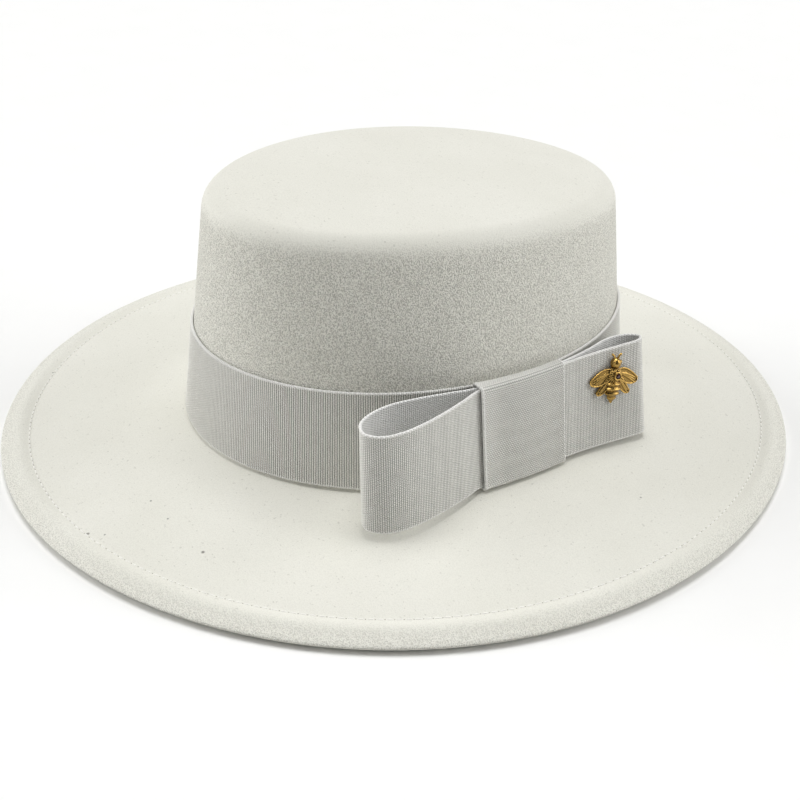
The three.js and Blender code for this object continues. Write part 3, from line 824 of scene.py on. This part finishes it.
def bee_ball(shape, radius, centre, stretch=(1, 1, 1)):
    """A ball, stretched along the axes."""
    place = Matrix.Translation(centre) @ Matrix.Diagonal((*stretch, 1))
    bmesh.ops.create_uvsphere(shape, u_segments=28, v_segments=18, radius=radius, matrix=place)


def bee_bar(shape, points, radii, sides=10):
    """A round bar with domed ends along a list of points."""
    line = [Vector(p) for p in points]
    rings = []
    for i, point in enumerate(line):
        heading = (line[min(i + 1, len(line) - 1)] - line[max(i - 1, 0)]).normalized()
        turn = heading.to_track_quat("Z", "Y")
        ring = []
        for k in range(sides):
            angle = TURN * k / sides
            spoke = turn @ Vector((math.cos(angle), math.sin(angle), 0))
            ring.append(shape.verts.new(point + spoke * radii[i]))
        rings.append(ring)
    for one, two in zip(rings, rings[1:]):
        for k in range(sides):
            shape.faces.new((one[k], one[(k + 1) % sides], two[(k + 1) % sides], two[k]))
    shape.faces.new(rings[0][::-1])
    shape.faces.new(rings[-1])


def bezier(p0, p1, p2, steps):
    """Points of a quadratic curve."""
    return [p0.lerp(p1, t).lerp(p1.lerp(p2, t), t) for t in np.linspace(0, 1, steps + 1)]


def bee_wing(shape, side, reach, drop, depth, root, veins):
    """A wing plate with a raised rim and veins that fan out from its root."""
    thick = 0.9
    start = Vector((0.45, 1.2 * side, root))

    def at(along, down, out=0.0):
        return start + Vector((out, along * side, down))

    def cubic(a, b, c, d, steps):
        path = []
        for t in np.linspace(0, 1, steps, endpoint=False):
            s = 1 - t
            path.append(a * s ** 3 + b * 3 * s * s * t + c * 3 * s * t * t + d * t ** 3)
        return path

    tip = at(reach, -drop)
    heel = at(0, -depth * 0.35)
    steps = 14
    edge = cubic(at(0, 0), at(reach * 0.3, depth * 0.45), at(reach * 0.8, depth * 0.35 - drop), tip, steps)
    edge += cubic(
        tip, at(reach * 1.02, -drop - depth * 0.45), at(reach * 0.5, -drop - depth * 0.55), heel, steps)
    edge.append(heel)
    back = [shape.verts.new(p - Vector((0.45, 0, 0))) for p in edge]
    face = [shape.verts.new(p + Vector((thick - 0.55, 0, 0))) for p in edge]
    count = len(edge)
    for k in range(count):
        shape.faces.new((back[k], back[(k + 1) % count], face[(k + 1) % count], face[k]))
    shape.faces.new(face)
    shape.faces.new(back[::-1])
    rim = [p + Vector((thick - 0.5, 0, 0)) for p in edge]
    bee_bar(shape, rim, [0.34] * len(rim))
    for i in range(veins):
        share = (i + 0.5) / veins - 0.5
        end = at(reach * 0.86, -drop - depth * (0.12 + share * 0.5), thick - 0.5)
        begin = at(reach * 0.1, -depth * 0.12, thick - 0.5)
        middle = begin.lerp(end, 0.5) + Vector((0, 0, depth * 0.1))
        bee_bar(shape, bezier(begin, middle, end, 6), [0.36] * 7)


def bee_abdomen(shape):
    """A ringed body, tapering downwards."""
    radius, length, start, rings, ridge, flat = 3.9, 11.0, 1.6, 5, 0.12, 0.7
    steps, sides = 60, 32
    loops = []
    for i in range(steps):
        t = (i + 0.5) / steps
        swell = math.sin(math.pi * (0.22 + 0.76 * t)) * (1 + ridge * math.cos(TURN * rings * t))
        ring = []
        for k in range(sides):
            angle = TURN * k / sides
            ring.append(shape.verts.new((radius * swell * flat * math.cos(angle),
                                         radius * swell * math.sin(angle), -start - length * t)))
        loops.append(ring)
    for one, two in zip(loops, loops[1:]):
        for k in range(sides):
            shape.faces.new((two[k], two[(k + 1) % sides], one[(k + 1) % sides], one[k]))
    shape.faces.new(loops[0])
    shape.faces.new(loops[-1][::-1])


def bee_fur(shape):
    """Grains over the thorax, set in a sunflower spiral, clear of the stone's cup."""
    grains, grain, radius, flat, cup_clear = 140, 0.36, 3.55, 0.75, 2.0
    for i in range(grains):
        tilt = math.acos(1 - (i + 0.5) / grains)
        angle = i * math.pi * (3 - math.sqrt(5))
        across = math.sin(tilt)
        spot = Vector((math.cos(tilt) * flat, across * math.cos(angle), across * math.sin(angle)))
        if math.hypot(spot.y, spot.z) * radius > cup_clear:
            place = Matrix.Translation(spot * radius)
            bmesh.ops.create_icosphere(shape, subdivisions=1, radius=grain, matrix=place)


def bee_cup(shape):
    """The ring that holds the stone."""
    sides, inner, outer, low, high = 28, 1.3, 1.95, 0.5, 3.35
    profile = [(inner, low), (outer, low), (outer, high - 0.2), (outer - 0.25, high), (inner, high)]
    loops = []
    for k in range(sides):
        angle = TURN * k / sides
        loops.append([shape.verts.new((x, r * math.cos(angle), r * math.sin(angle))) for r, x in profile])
    for k in range(sides):
        one, two = loops[k], loops[(k + 1) % sides]
        for j in range(len(profile)):
            n = (j + 1) % len(profile)
            shape.faces.new((one[j], one[n], two[n], two[j]))


def fused_casting(shape, voxel):
    """Fuses overlapping forms into one skin, as a mould would, and softens it."""
    bmesh.ops.recalc_face_normals(shape, faces=shape.faces)
    mesh = bpy.data.meshes.new("casting")
    shape.to_mesh(mesh)
    shape.free()
    obj = bpy.data.objects.new("casting", mesh)
    bpy.context.collection.objects.link(obj)
    fuse = obj.modifiers.new("fuse", "REMESH")
    fuse.mode = "VOXEL"
    fuse.voxel_size = voxel
    soften = obj.modifiers.new("soften", "SMOOTH")
    soften.iterations = 3
    bpy.context.view_layer.update()
    fused = bpy.data.meshes.new_from_object(obj.evaluated_get(bpy.context.evaluated_depsgraph_get()))
    bpy.data.objects.remove(obj)
    return fused


def bee_pin(material):
    """The whole casting, its back flat but for the post, seated on the bow's rear loop."""
    shape = bmesh.new()
    bee_ball(shape, 3.6, (0, 0, 0), (0.75, 1, 1))
    bee_ball(shape, 2.5, (0.5, 0, 5.2))
    bee_abdomen(shape)
    bee_fur(shape)
    bee_cup(shape)
    for side in (-1, 1):
        bee_ball(shape, 0.95, (1.5, 1.5 * side, 5.9))
        antenna = bezier(Vector((0.9, 0.7 * side, 6.1)), Vector((0.9, 0.8 * side, 8.6)),
                         Vector((0.9, 2.6 * side, 9.2)), 6)
        bee_bar(shape, antenna, [0.5] * 7)
        bee_wing(shape, side, reach=11.8, drop=3.8, depth=6.8, root=1.8, veins=3)
        bee_wing(shape, side, reach=7.8, drop=6.4, depth=4.4, root=-0.8, veins=2)
    bee_bar(shape, [(-PIN["post_length"], 0, 0), (1, 0, 0)], [PIN["post"]] * 2, sides=16)
    mesh = fused_casting(shape, voxel=0.14)
    spots = np.empty(len(mesh.vertices) * 3)
    mesh.vertices.foreach_get("co", spots)
    spots = spots.reshape(-1, 3)
    off_axis = np.hypot(spots[:, 1], spots[:, 2])
    behind = off_axis > PIN["post"] + PIN["post_clear"]
    in_cup = off_axis < PIN["cup"]
    spots[:, 0] = np.where(behind, np.maximum(spots[:, 0], 0), spots[:, 0])
    spots[:, 0] = np.where(in_cup, np.minimum(spots[:, 0], PIN["cup_floor"]), spots[:, 0])
    mesh.vertices.foreach_set("co", spots.ravel())
    lean = math.atan(bow_lean(PIN["along"]))
    ply = on_bow(PIN["out"], PIN["along"], PIN["height"])
    seat = Vector(ply) + Vector((math.cos(lean), 0, math.sin(lean))) * (RIBBON / 2 + PIN["seat"])
    place = Matrix.Translation(seat) @ Matrix.Rotation(-lean, 4, "Y") @ Matrix.Rotation(-PIN["lean"], 4, "X")
    mesh.transform(Matrix.Scale(MM, 4) @ place)
    mesh.name = "bee_pin_casting"
    mesh.materials.clear()
    mesh.materials.append(material)
    mesh.polygons.foreach_set("use_smooth", [True] * len(mesh.polygons))
    obj = bpy.data.objects.new("bee_pin_casting", mesh)
    bpy.context.collection.objects.link(obj)
    return obj


# Stage

def studio_axes():
    """Right, away and up as the photographer stands, in the hat's frame."""
    turn = math.radians(CAMERA["turn"])
    return Matrix.Rotation(turn, 3, "Z")


def place_camera():
    elevation, roll = math.radians(CAMERA["elevation"]), math.radians(CAMERA["roll"])
    back = Vector((0, -math.cos(elevation), math.sin(elevation)))
    level = Vector((1, 0, 0))
    rise = Vector((0, math.sin(elevation), math.cos(elevation)))
    right = level * math.cos(roll) + rise * math.sin(roll)
    up = rise * math.cos(roll) - level * math.sin(roll)
    aim = Vector((CAMERA["aim_right"], 0, CAMERA["aim_up"]))
    axes = studio_axes()
    data = bpy.data.cameras.new("photographer")
    data.sensor_width = SENSOR
    data.lens = CAMERA["focal_px"] * SENSOR / FRAME_PX
    data.clip_start = 0.01
    camera = bpy.data.objects.new("photographer", data)
    turned = Matrix([axes @ v for v in (right, up, back)]).transposed().to_4x4()
    camera.matrix_world = Matrix.Translation(axes @ (aim + back * CAMERA["distance"]) * MM) @ turned
    bpy.context.collection.objects.link(camera)
    bpy.context.scene.camera = camera


def soft_light(name, azimuth, elevation, share, spread):
    """A broad soft source: azimuth from the photographer's right, share of the light on a level surface."""
    a, e = math.radians(azimuth), math.radians(elevation)
    towards = studio_axes() @ Vector((math.cos(e) * math.cos(a), math.cos(e) * math.sin(a), math.sin(e)))
    data = bpy.data.lights.new(name, "SUN")
    data.energy = share * math.pi / math.sin(e)
    data.angle = math.radians(spread)
    light = bpy.data.objects.new(name, data)
    light.rotation_euler = towards.to_track_quat("Z", "Y").to_euler()
    bpy.context.collection.objects.link(light)


def light_studio():
    world = bpy.data.worlds.new("studio")
    world.use_nodes = True
    world.node_tree.nodes["Background"].inputs["Color"].default_value = (1, 1, 1, 1)
    world.node_tree.nodes["Background"].inputs["Strength"].default_value = 0.06
    bpy.context.scene.world = world
    soft_light("left_window", azimuth=174, elevation=23, share=0.21, spread=50)
    soft_light("right_window", azimuth=6, elevation=23, share=0.195, spread=50)
    soft_light("overhead", azimuth=110, elevation=84, share=0.58, spread=36)
    bpy.context.scene.view_settings.view_transform = "Standard"


def lay_floor(material):
    half, level = 4000, -0.2
    corners = [(-half, -half, level), (half, -half, level), (half, half, level), (-half, half, level)]
    make_object("floor", corners, [(0, 1, 2, 3)], material, smooth=False)


# Assembly

place_camera()
light_studio()
lay_floor(studio_paper())

felt = wool_felt()
stretched = elastic_ribbon(
    "stretched_elastic_ribbon", rib_pitch=RIB_PITCH, cord_pitch=1.1, ribs=1.1, cords=0.7)
slack = elastic_ribbon(
    "slack_elastic_ribbon", rib_pitch=0.85, cord_pitch=1.0, ribs=0.9, cords=1.2)

body = felt_body(felt)
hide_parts("felt_body")
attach(body, "root")

for row in hem_seam(cotton_thread(), pierced_felt()):
    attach(row, "root")

band, band_length = hat_band(stretched)
loops, loops_length = bow_loops(slack)
knot, knot_length = bow_knot(slack)
for strip, node, width, length, held, rests_on in [
    (band, "hat_band", BAND["width"], band_length, "stretched", [body]),
    (loops, "bow_ribbon", BOW["width"], loops_length, "folded", [knot]),
    (knot, "bow_knot", 2 * KNOT["half"], knot_length, "folded", [band]),
]:
    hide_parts(node)
    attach(strip, "root")

bee = bee_pin(antique_gold())
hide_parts("bee_pin")
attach(bee, "root")

for node, material in (("bee_stone", garnet_glass()), ("pin_clutch", plated_steel())):
    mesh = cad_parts[node].data
    mesh.materials.clear()
    mesh.materials.append(material)
